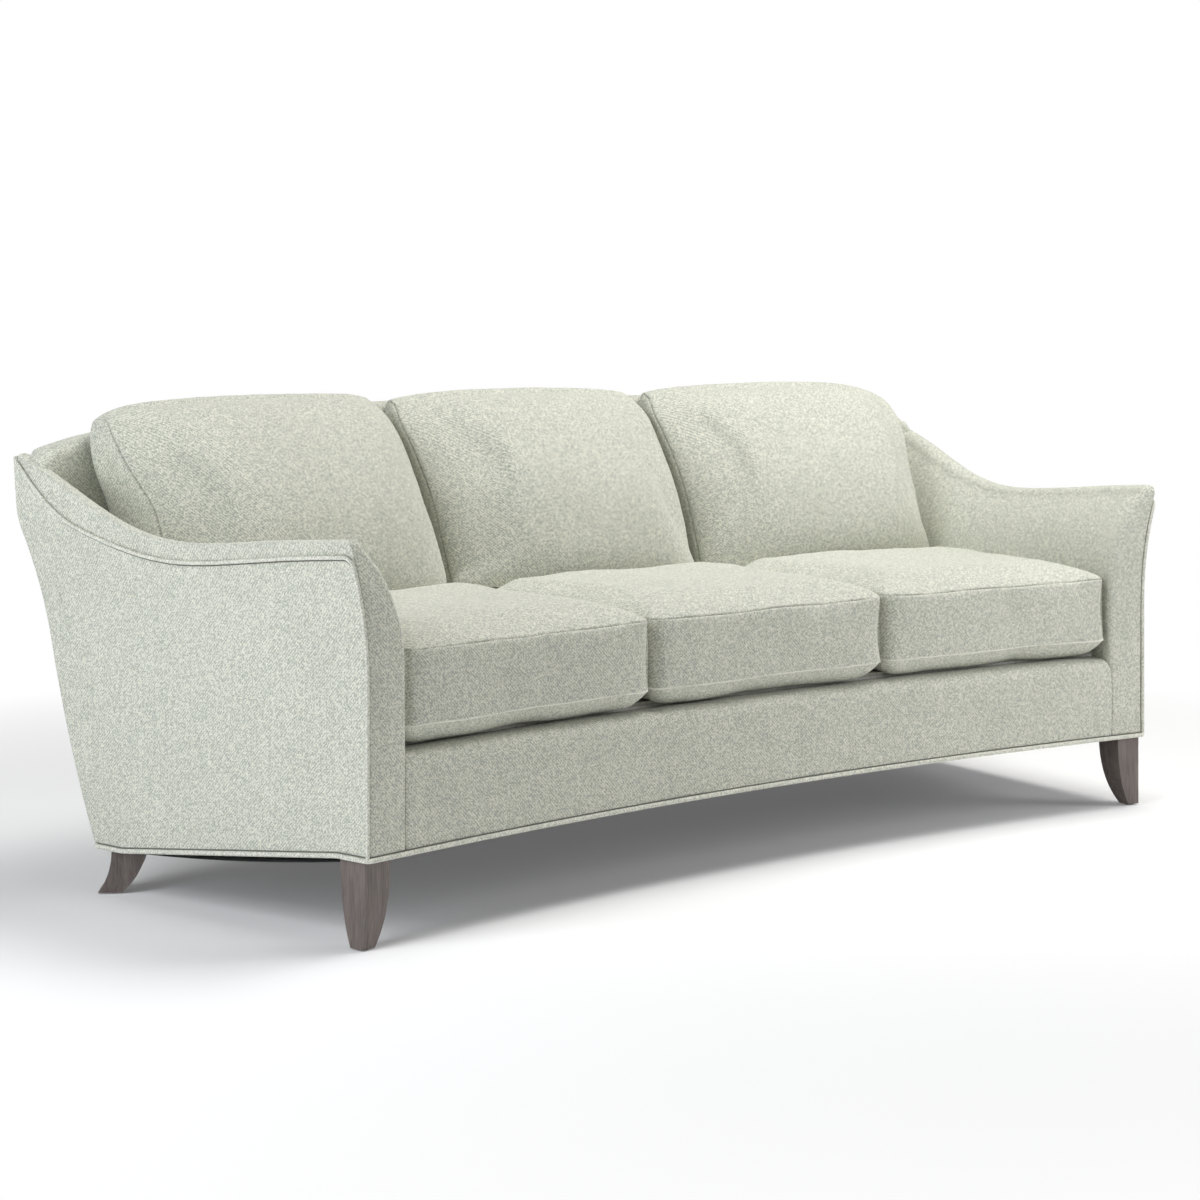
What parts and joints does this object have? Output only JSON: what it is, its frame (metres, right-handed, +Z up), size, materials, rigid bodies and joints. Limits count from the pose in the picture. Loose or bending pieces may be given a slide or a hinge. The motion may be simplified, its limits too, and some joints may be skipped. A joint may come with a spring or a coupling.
{
  "type": "curved sofa",
  "caption": "Upholstered sofa with a gently curved plan, sloping flared arms, loose seat and back cushions, corded edges and short tapered wooden legs.",
  "frame": {"origin": "centre of the overall footprint, on the floor under the glides", "axes": "+X along the sofa to the right seen from the front, +Y from the front to the back, +Z up"},
  "size_m": [2.3244, 0.9635, 0.876],
  "materials": {
    "upholstery": "pale heathered grey-green tweed",
    "welt_cloth": "lighter corded cloth",
    "deck_cloth": "plain woven",
    "wadding": "felted",
    "foam": "open-cell foam",
    "zip_tape": "woven tape",
    "cambric": "thin non-woven cloth",
    "webbing": "woven elastic strap",
    "spring_steel": "oiled wire",
    "clip_plastic": "moulded",
    "paper_tie": "paper-wrapped wire",
    "bolt_steel": "zinc plated",
    "glide_plastic": "moulded",
    "leg_wood": "grey-brown stain, satin",
    "frame_wood": "unfinished hardwood"
  },
  "bodies": {
    "base": {"arm_post_left": "frame_wood", "arm_post_right": "frame_wood", "arm_top_rail_left": "frame_wood", "arm_top_rail_right": "frame_wood", "arm_welt_left": "welt_cloth", "arm_welt_right": "welt_cloth", "back_lower_rail": "frame_wood", "back_post_left": "frame_wood", "back_post_right": "frame_wood", "back_top_rail": "frame_wood", "back_upright_left": "frame_wood", "back_upright_right": "frame_wood", "back_webbing": "webbing", "base_welt": "welt_cloth", "corner_blocks": "frame_wood", "deck_cover": "deck_cloth", "deck_pad": "wadding", "dust_cover": "cambric", "front_border": "upholstery", "front_leg_left": "leg_wood", "front_leg_right": "leg_wood", "front_rail": "frame_wood", "inside_arm_left": "upholstery", "inside_arm_right": "upholstery", "inside_back": "upholstery", "leg_bolts": "bolt_steel", "leg_glides": "glide_plastic", "outside_arm_left": "upholstery", "outside_arm_right": "upholstery", "outside_back": "upholstery", "rear_leg_left": "leg_wood", "rear_leg_right": "leg_wood", "rear_rail": "frame_wood", "seat_springs_centre": "spring_steel", "seat_springs_left": "spring_steel", "seat_springs_right": "spring_steel", "seat_stretcher_left": "frame_wood", "seat_stretcher_right": "frame_wood", "side_rail_left": "frame_wood", "side_rail_right": "frame_wood", "spring_clips": "clip_plastic", "spring_ties": "paper_tie"},
    "seat_cushion_left": {"seat_cover_left": "upholstery", "seat_core_left": "foam", "seat_zip_left": "zip_tape"},
    "back_cushion_left": {"back_cover_left": "upholstery", "back_core_left": "foam", "back_zip_left": "zip_tape"},
    "seat_cushion_centre": {"seat_cover_centre": "upholstery", "seat_core_centre": "foam", "seat_zip_centre": "zip_tape"},
    "back_cushion_centre": {"back_cover_centre": "upholstery", "back_core_centre": "foam", "back_zip_centre": "zip_tape"},
    "seat_cushion_right": {"seat_cover_right": "upholstery", "seat_core_right": "foam", "seat_zip_right": "zip_tape"},
    "back_cushion_right": {"back_cover_right": "upholstery", "back_core_right": "foam", "back_zip_right": "zip_tape"}
  },
  "joints": [
    {"name": "lift_seat_cushion_left", "type": "slide", "parent": "base", "child": "seat_cushion_left", "axis": [0, 0, 1], "range_m": [0, 0.18]},
    {"name": "lift_back_cushion_left", "type": "slide", "parent": "seat_cushion_left", "child": "back_cushion_left", "axis": [0, 0, 1], "range_m": [0, 0.3]},
    {"name": "lift_seat_cushion_centre", "type": "slide", "parent": "base", "child": "seat_cushion_centre", "axis": [0, 0, 1], "range_m": [0, 0.18]},
    {"name": "lift_back_cushion_centre", "type": "slide", "parent": "seat_cushion_centre", "child": "back_cushion_centre", "axis": [0, 0, 1], "range_m": [0, 0.3]},
    {"name": "lift_seat_cushion_right", "type": "slide", "parent": "base", "child": "seat_cushion_right", "axis": [0, 0, 1], "range_m": [0, 0.18]},
    {"name": "lift_back_cushion_right", "type": "slide", "parent": "seat_cushion_right", "child": "back_cushion_right", "axis": [0, 0, 1], "range_m": [0, 0.3]}
  ]
}
